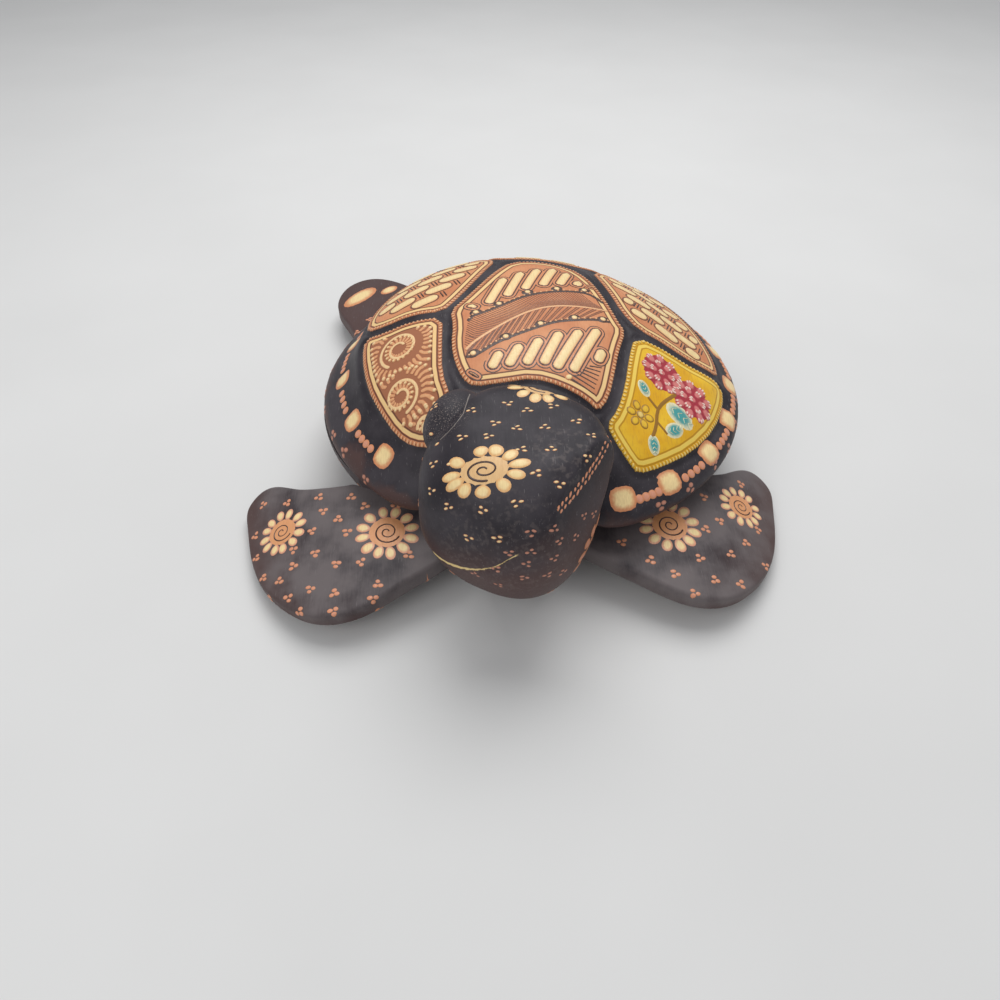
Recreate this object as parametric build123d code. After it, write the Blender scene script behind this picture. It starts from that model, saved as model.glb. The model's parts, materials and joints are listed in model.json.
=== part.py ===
from build123d import *
import math
import os

# Carved wooden sea turtle box, in millimetres.
# +Z is up, the turtle looks towards -Y and the flat underside lies on Z = 0.
# The origin is the middle of that underside. The body and the front flippers
# are symmetric about the YZ plane. The shell is the lid of the box and turns on
# a dowel behind the neck; it is drawn where it was left, part of the way open.

# Hollow body
body_half_width = 55.5      # at the top rim
body_rear_reach = 61.0      # from the origin back to the rim at the tail
body_height = 20.0          # top rim above the floor
compartment_radius = 40.0
compartment_y = 6.5         # middle of the compartment behind the origin
compartment_floor = 5.0     # wood left under the compartment
compartment_corner = 4.0    # rounding where its wall meets its floor

# Share of the body's height, and the share of the rim's outline that it has there
BODY_LEVELS = ((0.0, 0.74), (0.06, 0.80), (0.25, 0.885), (0.5, 0.945), (0.75, 0.985), (1.0, 1.0))

# Shell, which is the lid
shell_half_width = 62.0
shell_front_cover = 1.5     # its front reaches this far past the neck's middle
shell_rear_reach = 62.5
shell_top = 52.5            # highest point above the floor
rim_bead_height = 3.0       # widest line of the rim above the shell's underside
rim_bead_inset = 2.2        # the underside's edge lies this far inside that line
brim_height = 13.5          # top of the sloping rim band above the underside
brim_run = 9.5              # how far the band runs inward as it climbs
lid_gap = 0.2               # running gap between the body's rim and the shell
neck_notch_depth = 13.0     # how far the shell's front edge is cut back
neck_notch_angle = 20.0     # half of the angle that the notch spans, degrees
neck_notch_rise = 27.0      # the notch has faded out this far above the widest line
lid_recess_radius = 40.0
lid_recess_height = 20.0
dome_fullness = 2.8         # 2 is a plain bowl shape, more has fuller shoulders
dome_lean = -4.5            # the top lies this far to one side of the rim's middle
lid_open_angle = 10.0       # how far the lid is turned from closed, degrees

# Share of the band's height, and the share of its run that it has taken there
BRIM_LEVELS = ((0.2, 0.1), (0.5, 0.5), (1.0, 1.0))

# Shares of the dome's rise at which it has a level slice
DOME_LEVELS = (0.25, 0.5, 0.7, 0.85, 0.94, 0.985, 0.998)

# Lid pivot
pivot_y = -41.0
pivot_diameter = 5.0
pivot_length_in_body = 12.0
pivot_length_in_lid = 9.5
pivot_end_gap = 0.5
pivot_running_gap = 0.08    # radial

# Neck block, which is part of the body
neck_block_half_width = 9.0
neck_block_reach = 65.5     # front of the block ahead of the origin
neck_block_top = 17.0
neck_block_bottom = 4.0
neck_block_corner = 6.0

# Neck, which is part of the head
neck_y = -60.5
neck_radius = 7.5
neck_seat_gap = 0.2         # glue line round the foot of the neck
neck_in_head = 12.0         # it runs this far up into the head above the throat
neck_dowel_diameter = 6.0
neck_dowel_depth = 11.0     # in the block, and as far again in the neck

# Head
head_turn = 30.0            # carved looking to its right, degrees
head_x = -2.8               # middle of the head
head_y = -62.0
throat_y = -68.6            # the shell's front edge sweeps up to here
throat_z = 27.0
throat_slope = 41.0         # degrees
head_squareness = 2.5       # 2 is an oval slice, more is squarer

# Heights of the head's level slices above the floor, with each slice's
# forward reach, backward reach and half width about the middle of the head
HEAD_SLICES = (
    (12.5, 7.5, 2.0, 5.0),
    (15.0, 11.0, 6.0, 11.0),
    (20.0, 15.5, 11.0, 16.5),
    (26.0, 18.0, 15.5, 19.5),
    (32.0, 19.5, 18.0, 20.5),
    (38.0, 19.0, 20.0, 20.8),
    (44.0, 17.5, 22.0, 21.0),
    (49.0, 14.0, 23.0, 19.5),
    (52.5, 8.5, 21.5, 16.5),
    (54.5, 0.0, 17.0, 10.0),
)

# Eye knobs, whose middles are behind the head's middle
eye_half_sizes = (6.4, 10.0, 7.2)   # across the head, along it and upward
eye_back = 7.0
eye_height = 47.0
eye_spread = 16.5           # from the line midway between the eyes
eye_offset = -2.0           # that line from the head's middle, towards its right

# Mouth, a thin cut round the snout
mouth_tip = 19.3            # forward reach of the snout at the cut
mouth_height = 30.6         # height there
mouth_climb = 54.5          # slope of the cut up towards the cheeks, degrees
mouth_skew = 24.5           # the cut faces this much further right than the head, degrees
mouth_right_reach = 12.0    # along the cut, from the snout to its own right
mouth_left_reach = 8.6
mouth_width = 0.8
mouth_depth = 1.4

# Both pairs of flippers
flipper_edge = 1.2          # rounding of the outer edges
droop_angle = 38.0          # how much of a full turn each flipper's droop spans, degrees

# Front flippers
front_seat_angle = 28.0     # the seat faces this far to the side of straight ahead
front_seat_depth = 4.1      # the seat is cut this far into the body's front
front_seat_ends = (-10.4, 24.5)     # along the seat from the foot of its normal
front_flipper_top = 18.5    # top face at the root
front_flipper_root = 5.5    # thickness at the root
front_flipper_tip = 3.0     # thickness at the tip
front_flipper_bend = 75.0   # radius of the droop
front_bend_start = 9.9      # the droop starts this far outboard of the foot of the seat's normal
front_flipper_tilt = 8.0    # leading edge carried lower, degrees
front_tilt_back = 20.4      # axis of that tilt, behind the foot of the seat's normal

# Plan of the left front flipper, from the leading edge round the tip to the trailing
# edge. Plans of flippers are measured from the foot of the seat's normal.
FRONT_OUTLINE = (
    (-8.6, -12.1), (-3.1, -16.1), (6.4, -22.1), (18.9, -28.8), (27.4, -28.6),
    (35.9, -23.6), (43.4, -15.1), (48.9, -3.1), (52.1, 8.9), (52.5, 15.9),
    (48.4, 19.2), (36.4, 14.4), (28.9, 12.2),
)

# Rear flippers
rear_seat_angle = 142.0
rear_seat_depth = 6.2
rear_seat_ends = (14.0, -16.0)
rear_flipper_top = 15.0
rear_flipper_root = 7.0
rear_flipper_tip = 4.0
rear_flipper_bend = 90.0
rear_bend_start = -2.3
rear_left_trail = 20.0      # the left one is carved trailing further back, degrees
rear_left_share = 0.84      # and shorter

# Plan of a rear flipper drawn on the left, from the edge by the tail round the tip
REAR_OUTLINE = (
    (-10.3, 22.6), (-1.3, 33.6), (8.7, 42.1), (17.7, 45.6), (24.7, 43.6),
    (28.2, 36.1), (26.7, 25.6), (22.2, 14.6), (18.7, 4.6),
)

# Tail
tail_z = 8.5
tail_seat_depth = 4.0

# Slices of the tail: back from its seat, rise, half width and half height
TAIL_SLICES = ((0.0, 0.0, 4.5, 4.0), (9.0, 1.0, 3.0, 2.6), (15.0, 2.0, 0.8, 0.7))

# Glue dowels of the flippers and the tail
dowel_diameter = 3.0
dowel_length = 12.0
dowel_in_body = 5.0
front_dowel_offsets = (-2.0, 13.0)  # along the seat from the foot of its normal

outline_step = 6            # degrees between the points of a carved outline
cutter = 120.0              # longer than any piece that it trims

shell_bottom = body_height + lid_gap
widest_z = shell_bottom + rim_bead_height
dome_edge_z = shell_bottom + brim_height
dome_rise = shell_top - dome_edge_z
shell_front_reach = shell_front_cover - neck_y
front_seat_reach = body_half_width - front_seat_depth
tail_seat_y = body_rear_reach - tail_seat_depth

UP = (Align.CENTER, Align.CENTER, Align.MIN)
DOWN = (Align.CENTER, Align.CENTER, Align.MAX)


def place(x, y, z=0.0):
    return Location((x, y, z))


def half_ellipse(angle, side, ahead, behind):
    """Radius at an angle from straight ahead, of an oval with its own reach ahead and behind."""
    reach = ahead if abs(angle) <= 90 else behind
    s, c = math.sin(math.radians(angle)), math.cos(math.radians(angle))
    return 1.0 / math.hypot(s / side, c / reach)


rear_body_radius = half_ellipse(rear_seat_angle, body_half_width, body_half_width, body_rear_reach)
rear_seat_reach = rear_body_radius - rear_seat_depth


def outline(radius_at, z, origin=(0.0, 0.0)):
    """Level closed face whose radius about the origin is a function of the angle from the nose."""
    points = []
    for angle in range(-180, 180, outline_step):
        r = radius_at(angle)
        a = math.radians(angle)
        points.append((origin[0] + r * math.sin(a), origin[1] - r * math.cos(a), z))
    return Face(Wire(Spline(*points, periodic=True)))


# Shell
def shell_slice(z, inset):
    """Level slice of the shell, an even share smaller than the rim so that it is inset at the sides."""
    share = 1 - inset / shell_half_width
    height = min(max((z - widest_z) / neck_notch_rise, 0), 1)
    notch = neck_notch_depth * (1 + math.cos(math.pi * height)) / 2
    rise = max((z - dome_edge_z) / dome_rise, 0)
    lean = dome_lean * (1 - (1 - rise) ** 3)

    def radius(angle):
        r = half_ellipse(angle, shell_half_width, shell_front_reach, shell_rear_reach)
        return share * (r - notch * math.exp(-((angle / neck_notch_angle) ** 4)))

    return outline(radius, z, (lean, 0.0))


def dome_inset(share):
    """How far the dome lies inside the rim at a share of its rise."""
    edge = shell_half_width - brim_run
    return shell_half_width - edge * (1 - share) ** (1 / dome_fullness)


def make_shell():
    """The shell, closed on the body, before it is turned."""
    slices = [
        shell_slice(shell_bottom, rim_bead_inset),
        shell_slice(shell_bottom + rim_bead_height / 3, rim_bead_inset / 4),
        shell_slice(widest_z, 0.0),
    ]
    for height, run in BRIM_LEVELS:
        slices.append(shell_slice(widest_z + (dome_edge_z - widest_z) * height, brim_run * run))
    for share in DOME_LEVELS:
        slices.append(shell_slice(dome_edge_z + dome_rise * share, dome_inset(share)))
    shell = loft(slices + [Vertex(dome_lean, 0, shell_top)])
    recess_ball = (lid_recess_radius**2 + lid_recess_height**2) / (2 * lid_recess_height)
    ball_z = shell_bottom + lid_recess_height - recess_ball
    shell -= place(0, compartment_y, ball_z) * Sphere(recess_ball)
    hole_top = pivot_length_in_lid + pivot_end_gap
    shell -= place(0, pivot_y, body_height) * Cylinder(
        pivot_diameter / 2 + pivot_running_gap, hole_top, align=UP
    )
    return shell


def turned_open(solid):
    """The lid where it was left: turned about the pivot, clockwise from above."""
    return place(0, pivot_y) * Rot(0, 0, -lid_open_angle) * place(0, -pivot_y) * solid


# Seats and dowels, which the body shares with the pieces glued to it
def seat_frame(side, angle, reach):
    """Frame on a flipper's seat: X across it, Z out of the body."""
    a = math.radians(angle)
    out = Vector(side * math.sin(a), -math.cos(a), 0)
    across = Vector(math.cos(a), side * math.sin(a), 0)
    return Plane(origin=out * reach, x_dir=across, z_dir=out)


def seat_point(angle, reach, along):
    """Point on the left-hand seat's line, in plan."""
    a = math.radians(angle)
    return (
        reach * math.sin(a) + along * math.cos(a),
        -reach * math.cos(a) + along * math.sin(a),
    )


def front_tilt_y():
    return seat_point(front_seat_angle, front_seat_reach, 0)[1] + front_tilt_back


def front_dowel_z(along):
    """Middle of the tilted front flipper where a dowel enters it."""
    y = seat_point(front_seat_angle, front_seat_reach, along)[1]
    fall = (front_tilt_y() - y) * math.tan(math.radians(front_flipper_tilt))
    return front_flipper_top - front_flipper_root / 2 - fall


def dowel_frames(side, front):
    """Frames on a flipper's seat for its dowels, Z out of the body."""
    if front:
        seat = seat_frame(side, front_seat_angle, front_seat_reach)
        spots = [(side * along, front_dowel_z(along)) for along in front_dowel_offsets]
    else:
        seat = seat_frame(side, rear_seat_angle, rear_seat_reach)
        spots = [(0.0, rear_flipper_top - rear_flipper_root / 2)]
    return [seat * Pos(along, seat.y_dir.Z * z, 0) for along, z in spots]


def dowel(frame):
    return frame * Pos(0, 0, -dowel_in_body) * Cylinder(dowel_diameter / 2, dowel_length, align=UP)


def tail_dowel():
    pin = Cylinder(dowel_diameter / 2, dowel_length, align=UP)
    return place(0, tail_seat_y - dowel_in_body, tail_z) * Rot(-90, 0, 0) * pin


def lid_pivot_dowel():
    length = pivot_length_in_body + pivot_length_in_lid
    pin = Cylinder(pivot_diameter / 2, length, align=UP)
    return place(0, pivot_y, body_height - pivot_length_in_body) * pin


def neck_dowel():
    pin = Cylinder(neck_dowel_diameter / 2, 2 * neck_dowel_depth, align=UP)
    return place(0, neck_y, neck_block_top - neck_dowel_depth) * pin


# Body
def body_slice(z, share):
    def radius(angle):
        return share * half_ellipse(angle, body_half_width, body_half_width, body_rear_reach)

    return outline(radius, z)


def neck_block():
    depth = neck_block_reach + pivot_y
    height = neck_block_top - neck_block_bottom
    block = Box(2 * neck_block_half_width, depth, height, align=(Align.CENTER, Align.MIN, Align.MIN))
    block = place(0, -neck_block_reach, neck_block_bottom) * block
    front = block.faces().sort_by(Axis.Y)[0]
    return fillet([e for e in front.edges() if e.center().Z < neck_block_top], neck_block_corner)


def make_body():
    body = loft([body_slice(body_height * height, share) for height, share in BODY_LEVELS])
    off_cut = Box(cutter, cutter, cutter, align=UP)
    for side in (-1, 1):
        body -= seat_frame(side, front_seat_angle, front_seat_reach) * off_cut
        body -= seat_frame(side, rear_seat_angle, rear_seat_reach) * off_cut
    body += neck_block()
    pocket = Cylinder(compartment_radius, body_height, align=UP)
    pocket = fillet(pocket.edges().sort_by(Axis.Z)[0], compartment_corner)
    body -= place(0, compartment_y, compartment_floor) * pocket
    neck_seat = place(0, neck_y, neck_block_top)
    body -= neck_seat * Cylinder(neck_radius + neck_seat_gap, body_height, align=UP)
    body -= place(0, tail_seat_y, 0) * Rot(-90, 0, 0) * off_cut
    for pin in (lid_pivot_dowel(), neck_dowel(), tail_dowel()):
        body -= pin
    for side in (-1, 1):
        for frame in dowel_frames(side, True) + dowel_frames(side, False):
            body -= dowel(frame)
    return body


# Head
def head_slice(z, ahead, behind, side):
    middle = (ahead - behind) / 2
    length = (ahead + behind) / 2

    def radius(angle):
        s, c = abs(math.sin(math.radians(angle))), abs(math.cos(math.radians(angle)))
        return ((s / side) ** head_squareness + (c / length) ** head_squareness) ** (-1 / head_squareness)

    return outline(radius, z, (0.0, -middle))


def mouth_cut(head):
    """The part of a thin slanted slab that lies within the mouth's depth of the head's surface."""
    core_share = 1 - mouth_depth / mouth_tip
    core = place(0, 0, mouth_height) * scale(place(0, 0, -mouth_height) * head, by=core_share)
    slab = Box(mouth_right_reach + mouth_left_reach, 2 * mouth_right_reach, mouth_width)
    slab = place((mouth_left_reach - mouth_right_reach) / 2, 0) * slab
    return place(0, -mouth_tip, mouth_height) * Rot(0, 0, -mouth_skew) * Rot(mouth_climb, 0, 0) * slab - core


def make_head():
    head = loft([head_slice(*row) for row in HEAD_SLICES])
    head -= mouth_cut(head)
    for side in (-1, 1):
        eye = scale(Sphere(1.0), by=eye_half_sizes)
        head += place(side * eye_spread + eye_offset, eye_back, eye_height) * eye
    head = place(head_x, head_y) * Rot(0, 0, -head_turn) * head
    under = Box(cutter, cutter, throat_z, align=(Align.CENTER, Align.MIN, Align.MIN))
    head -= place(0, throat_y, 0) * under
    slope = Box(cutter, cutter, throat_z, align=(Align.CENTER, Align.MIN, Align.MAX))
    head -= place(0, throat_y, throat_z) * Rot(throat_slope, 0, 0) * slope
    neck = Cylinder(neck_radius, throat_z + neck_in_head - neck_block_top, align=UP)
    return head + place(0, neck_y, neck_block_top) * neck - neck_dowel()


# Flippers
def drooping_slab(top, root, tip, bend, bend_start):
    """Slab that lies level near the body and curves down outboard, on the left-hand side."""

    def droop(share):
        a = math.radians(droop_angle * share)
        return bend_start + bend * math.sin(a), top - bend * (1 - math.cos(a))

    half_x, half_z = droop(0.5)
    end_x, end_z = droop(1.0)
    middle = (root + tip) / 2
    edges = [
        Line((0, top), (bend_start, top)),
        ThreePointArc((bend_start, top), (half_x, half_z), (end_x, end_z)),
        Line((end_x, end_z), (end_x, end_z - tip)),
        ThreePointArc((end_x, end_z - tip), (half_x, half_z - middle), (bend_start, top - root)),
        Line((bend_start, top - root), (0, top - root)),
        Line((0, top - root), (0, top)),
    ]
    return extrude(Plane.XZ * make_face(edges), amount=cutter, both=True)


def plan(points, angle, reach, ends, trail=0.0, share=1.0):
    """Plan outline of a left-hand flipper, closed along its seat, turned and shrunk about its foot."""
    first, last = (seat_point(angle, reach, along) for along in ends)
    foot = Vector(*seat_point(angle, reach, 0))
    points = [tuple(Vector(*point).rotate(Axis.Z, trail) * share + foot) for point in points]
    return make_face([Line(first, points[0]), Spline(*points, last), Line(last, first)])


def finish_flipper(blade, side, frames):
    """Rounds the carved edges, mirrors the blade to its side and drills it for its dowels."""
    carved = [e for e in blade.edges() if e.geom_type == GeomType.BSPLINE]
    blade = fillet(carved, flipper_edge)
    if side < 0:
        blade = mirror(blade, Plane.YZ)
    for frame in frames:
        blade -= dowel(frame)
    return blade


def make_front_flipper(side):
    bend_start = seat_point(front_seat_angle, front_seat_reach, 0)[0] + front_bend_start
    slab = drooping_slab(
        front_flipper_top, front_flipper_root, front_flipper_tip, front_flipper_bend, bend_start
    )
    slab = place(0, front_tilt_y()) * Rot(front_flipper_tilt, 0, 0) * slab
    face = plan(FRONT_OUTLINE, front_seat_angle, front_seat_reach, front_seat_ends)
    blade = extrude(face, amount=cutter, dir=(0, 0, 1)) & slab
    return finish_flipper(blade, side, dowel_frames(side, True))


def make_rear_flipper(side):
    bend_start = seat_point(rear_seat_angle, rear_seat_reach, 0)[0] + rear_bend_start
    slab = drooping_slab(
        rear_flipper_top, rear_flipper_root, rear_flipper_tip, rear_flipper_bend, bend_start
    )
    trail, share = (rear_left_trail, rear_left_share) if side > 0 else (0.0, 1.0)
    face = plan(REAR_OUTLINE, rear_seat_angle, rear_seat_reach, rear_seat_ends, trail, share)
    blade = extrude(face, amount=cutter, dir=(0, 0, 1)) & slab
    return finish_flipper(blade, side, dowel_frames(side, False))


# Tail
def make_tail():
    seat = Plane(origin=(0, tail_seat_y, tail_z), x_dir=(1, 0, 0), z_dir=(0, 1, 0))
    slices = []
    for back, rise, half_width, half_height in TAIL_SLICES:
        slices.append(seat.offset(back) * Pos(0, rise) * Ellipse(half_width, half_height))
    return loft(slices) - tail_dowel()


pieces = {
    "body": make_body(),
    "shell_lid": turned_open(make_shell()),
    "lid_pivot_dowel": lid_pivot_dowel(),
    "head": make_head(),
    "neck_dowel": neck_dowel(),
    "tail": make_tail(),
    "tail_dowel": tail_dowel(),
}
for name, side in (("left", 1), ("right", -1)):
    pieces[f"front_{name}_flipper"] = make_front_flipper(side)
    pieces[f"rear_{name}_flipper"] = make_rear_flipper(side)
    pieces[f"front_{name}_flipper_dowels"] = Compound(
        children=[dowel(frame) for frame in dowel_frames(side, True)]
    )
    pieces[f"rear_{name}_flipper_dowel"] = dowel(dowel_frames(side, False)[0])

os.makedirs("parts", exist_ok=True)
for name, solid in pieces.items():
    export_step(solid, f"parts/{name}.step")
    print(name, round(solid.volume), solid.bounding_box().size)
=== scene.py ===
import json
import random
from math import atan2, cos, dist, exp, hypot, pi, radians, sin, sqrt

import bpy
from mathutils import Euler, Matrix, Vector
from mathutils.bvhtree import BVHTree

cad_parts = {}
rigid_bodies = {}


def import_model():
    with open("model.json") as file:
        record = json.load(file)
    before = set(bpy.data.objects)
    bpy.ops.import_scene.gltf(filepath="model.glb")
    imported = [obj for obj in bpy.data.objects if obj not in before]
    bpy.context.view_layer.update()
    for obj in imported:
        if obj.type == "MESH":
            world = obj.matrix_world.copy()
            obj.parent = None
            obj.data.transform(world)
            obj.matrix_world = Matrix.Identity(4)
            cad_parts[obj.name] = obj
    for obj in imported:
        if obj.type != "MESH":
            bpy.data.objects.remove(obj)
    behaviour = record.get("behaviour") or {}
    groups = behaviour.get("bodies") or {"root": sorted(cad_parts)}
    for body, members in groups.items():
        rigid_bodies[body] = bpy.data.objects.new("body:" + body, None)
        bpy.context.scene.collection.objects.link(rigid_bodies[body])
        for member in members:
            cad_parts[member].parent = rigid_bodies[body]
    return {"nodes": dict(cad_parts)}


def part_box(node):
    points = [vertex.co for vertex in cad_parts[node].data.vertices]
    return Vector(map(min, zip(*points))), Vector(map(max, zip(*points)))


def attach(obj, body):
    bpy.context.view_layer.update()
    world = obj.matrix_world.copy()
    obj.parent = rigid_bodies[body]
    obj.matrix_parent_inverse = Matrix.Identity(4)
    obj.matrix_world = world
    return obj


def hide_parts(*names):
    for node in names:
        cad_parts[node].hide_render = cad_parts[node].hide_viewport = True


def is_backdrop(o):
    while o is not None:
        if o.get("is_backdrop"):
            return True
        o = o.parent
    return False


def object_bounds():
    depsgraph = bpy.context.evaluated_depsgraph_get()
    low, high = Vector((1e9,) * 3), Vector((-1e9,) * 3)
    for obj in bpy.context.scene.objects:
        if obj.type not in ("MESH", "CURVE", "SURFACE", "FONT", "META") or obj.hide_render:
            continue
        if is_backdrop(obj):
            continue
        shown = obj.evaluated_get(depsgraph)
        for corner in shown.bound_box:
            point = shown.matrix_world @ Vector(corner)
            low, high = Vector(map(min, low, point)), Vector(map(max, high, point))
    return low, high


for leftover in list(bpy.data.objects):
    bpy.data.objects.remove(leftover)
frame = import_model()
cad_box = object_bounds()
bpy.ops.object.select_all(action="DESELECT")

MM = 0.001
scene = bpy.context.scene
nodes = frame["nodes"]

# The view
# The turtle stands on a table and is photographed from in front and above,
# with a phone's main camera held about 16 cm over the table. A pale room and
# two soft boxes light it.
camera_place = Vector((-11.8, -186.6, 160.5)) * MM
camera_turn = Euler((radians(45), 0, radians(-3)))
photo_size = 1000
focal_pixels = 751

camera = bpy.data.objects.new("camera", bpy.data.cameras.new("camera"))
scene.collection.objects.link(camera)
camera.location = camera_place
camera.rotation_euler = camera_turn
camera.data.sensor_width = 36
camera.data.lens = camera.data.sensor_width * focal_pixels / photo_size
camera.data.clip_start = 0.005
scene.camera = camera
scene.view_settings.view_transform = "Standard"


def lamp(name, place, aim, size, power):
    """A square soft box, placed and aimed in millimetres."""
    light = bpy.data.objects.new(name, bpy.data.lights.new(name, "AREA"))
    scene.collection.objects.link(light)
    light.location = Vector(place) * MM
    light.rotation_euler = (Vector(aim) - Vector(place)).to_track_quat("-Z", "Y").to_euler()
    light.data.size = size * MM
    light.data.energy = power


turtle_middle = (0, 0, 20)
lamp("ceiling_light", (60, 240, 620), turtle_middle, 500, 2.9)
lamp("front_light", (-320, -420, 420), turtle_middle, 360, 0.8)

room_colour = (0.96, 0.97, 1.0, 1)
room_strength = 0.42
world = bpy.data.worlds.new("studio")
scene.world = world
world.use_nodes = True
room = world.node_tree.nodes["Background"]
room.inputs["Color"].default_value = room_colour
room.inputs["Strength"].default_value = room_strength


class Wire:
    """A socket of a finish that is being mixed. Arithmetic on it adds Math nodes."""

    def __init__(self, finish, socket):
        self.finish = finish
        self.socket = socket

    def math(self, operation, *others):
        return self.finish.node("ShaderNodeMath", {"operation": operation}, enumerate((self,) + others))

    def __add__(self, other):
        return self.math("ADD", other)

    def __sub__(self, other):
        return self.math("SUBTRACT", other)

    def __rsub__(self, other):
        return (self * -1).math("ADD", other)

    def __mul__(self, other):
        return self.math("MULTIPLY", other)

    __radd__ = __add__
    __rmul__ = __mul__

    def ramp(self, low, high, start=0.0, end=1.0):
        """Runs smoothly from start to end while the value goes from low to high."""
        settings = {"interpolation_type": "SMOOTHSTEP"}
        values = {"Value": self, "From Min": low, "From Max": high, "To Min": start, "To Max": end}
        return self.finish.node("ShaderNodeMapRange", settings, values.items())


class Finish:
    """One material, mixed from shader nodes. Keyword values stay the same all over the surface."""

    def __init__(self, name, **same):
        self.material = bpy.data.materials.new(name)
        self.material.use_nodes = True
        self.tree = self.material.node_tree
        self.shader = self.tree.nodes["Principled BSDF"]
        for socket, value in same.items():
            self.shader.inputs[socket.replace("_", " ")].default_value = value

    def node(self, kind, settings, values, output=0):
        node = self.tree.nodes.new(kind)
        for key, value in settings.items():
            setattr(node, key, value)
        for key, value in values:
            if isinstance(value, Wire):
                self.tree.links.new(value.socket, node.inputs[key])
            else:
                node.inputs[key].default_value = value
        return Wire(self, node.outputs[output])

    def place(self):
        return self.node("ShaderNodeTexCoord", {}, (), "Object")

    def attribute(self, name, output="Fac"):
        return self.node("ShaderNodeAttribute", {"attribute_name": name}, (), output)

    def part(self, vector, axis):
        """One of a vector's three numbers."""
        return self.node("ShaderNodeSeparateXYZ", {}, ((0, vector),), axis)

    def mapped(self, place, turn, scale):
        values = {"Vector": place, "Rotation": turn, "Scale": scale}
        return self.node("ShaderNodeMapping", {}, values.items())

    def noise(self, place, scale, detail=3.0):
        values = {"Vector": place, "Scale": scale, "Detail": detail}
        return self.node("ShaderNodeTexNoise", {}, values.items())

    def blend(self, share, low, high):
        """Mixes two colours."""
        low, high = (c if isinstance(c, Wire) else (*c, 1.0) for c in (low, high))
        return self.node("ShaderNodeMix", {"data_type": "RGBA"}, ((0, share), (6, low), (7, high)), 2)

    def drive(self, socket, wire):
        self.tree.links.new(wire.socket, self.shader.inputs[socket])

    def bump(self, height, depth, strength=1.0):
        """Gives the surface a fine relief; the depth is in millimetres."""
        values = {"Height": height, "Distance": depth * MM, "Strength": strength}
        self.drive("Normal", self.node("ShaderNodeBump", {}, values.items()))


def wear(piece, finish):
    """Gives a piece this finish and no other."""
    piece.data.materials.clear()
    piece.data.materials.append(finish.material)


# Table top
# A plain pale sheet under the turtle, which only catches its shadow. It isn't
# part of the turtle.
sheet_dark = (0.70, 0.70, 0.69)
sheet_pale = (0.76, 0.76, 0.75)
bpy.ops.mesh.primitive_plane_add(size=6, location=(0, 0, 0))
table = bpy.context.object
table.name = "table_top"
table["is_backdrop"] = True
paper = Finish("pale_paper", Roughness=0.9)
paper_tint = paper.noise(paper.place(), 14.0)
paper.drive("Base Color", paper.blend(paper_tint, sheet_dark, sheet_pale))
wear(table, paper)


# Dyed wood, used by the head, body, flippers and the shell's rim
# Light soft wood, dyed nearly black and waxed. Worn brown grain shows through,
# more so low down, with fine pale scratches along the grain.
black_dye = (0.014, 0.011, 0.017)
grey_dye = (0.034, 0.029, 0.038)
brown_dye = (0.095, 0.050, 0.044)
worn_grey = (0.155, 0.132, 0.132)
scratch_grey = (0.22, 0.20, 0.20)
grain_stretch = (1.0, 0.07, 0.35)
grain_scale = 2600.0
scratch_scale = 4200.0
cloud_scale = 90.0
brown_wander = 14


def dye(finish, place, turn, worn, brown_below, brown_above, slope=0.0):
    """Colour of dyed wood, brown below one height and black above the other, in mm. The heights can slope."""
    grain = finish.mapped(place, (0, 0, turn), grain_stretch)
    streaks = finish.noise(grain, grain_scale, 4.0)
    clouds = finish.noise(place, cloud_scale, 4.0)
    height = finish.part(place, 2) + finish.part(place, 0) * slope
    lifted = height + (clouds - 0.5) * (brown_wander * MM)
    base = finish.blend(clouds.ramp(0.35, 0.7), black_dye, grey_dye)
    base = finish.blend((streaks * 0.14 + clouds * 0.86).ramp(0.22, 0.62) * worn, base, worn_grey)
    low = lifted.ramp(brown_below * MM, brown_above * MM, 1.0, 0.0)
    base = finish.blend(low * 0.8, base, brown_dye)
    scratches = finish.noise(grain, scratch_scale, 2.0).ramp(0.66, 0.74)
    base = finish.blend(scratches * 0.45, base, scratch_grey)
    return base, streaks, clouds


def dyed_wood(name, turn, worn, brown_below, brown_above):
    """Dyed wood, lightly waxed, with the grain's streaks a little rough."""
    finish = Finish(name, Coat_Roughness=0.4, Specular_IOR_Level=0.3)
    colour, streaks, clouds = dye(finish, finish.place(), turn, worn, brown_below, brown_above)
    finish.drive("Base Color", colour)
    finish.drive("Roughness", (clouds * 0.2 + streaks * 0.25) + 0.36)
    finish.drive("Coat Weight", clouds.ramp(0.3, 0.8, 0.02, 0.10))
    finish.bump(streaks, 0.05, 0.6)
    return finish


# Wax marks
# Every flower, dot and line is a mark of hot wax that kept the dye off the
# wood. Each is a thin closed inlay that follows the wood, a little proud of it.
cream = (0.95, 0.73, 0.36)
tan = (0.70, 0.27, 0.115)
salmon = (0.74, 0.33, 0.21)
dark_line = (0.045, 0.022, 0.020)
chin_salmon = (0.58, 0.25, 0.17)
darker_salmon_rim = (0.34, 0.14, 0.09)
wax_fibre = (0.30, 0.13, 0.05)
waxed = (cream, tan)
inked = (dark_line, dark_line)
salmon_wax = (salmon, tan)
# Darker salmon marks, used on the chin and on the rim's lower roll.
darker_salmon_wax = (chin_salmon, darker_salmon_rim)
mark_sink = 0.25
mark_rise = 0.10
small_mark = 2.0
spiral_steps = 20
cap_shares = (0.03, 0.2, 0.55, 1.0)
cast_height = 6
cast_reach = 14
chance = random.Random(7)


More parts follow.
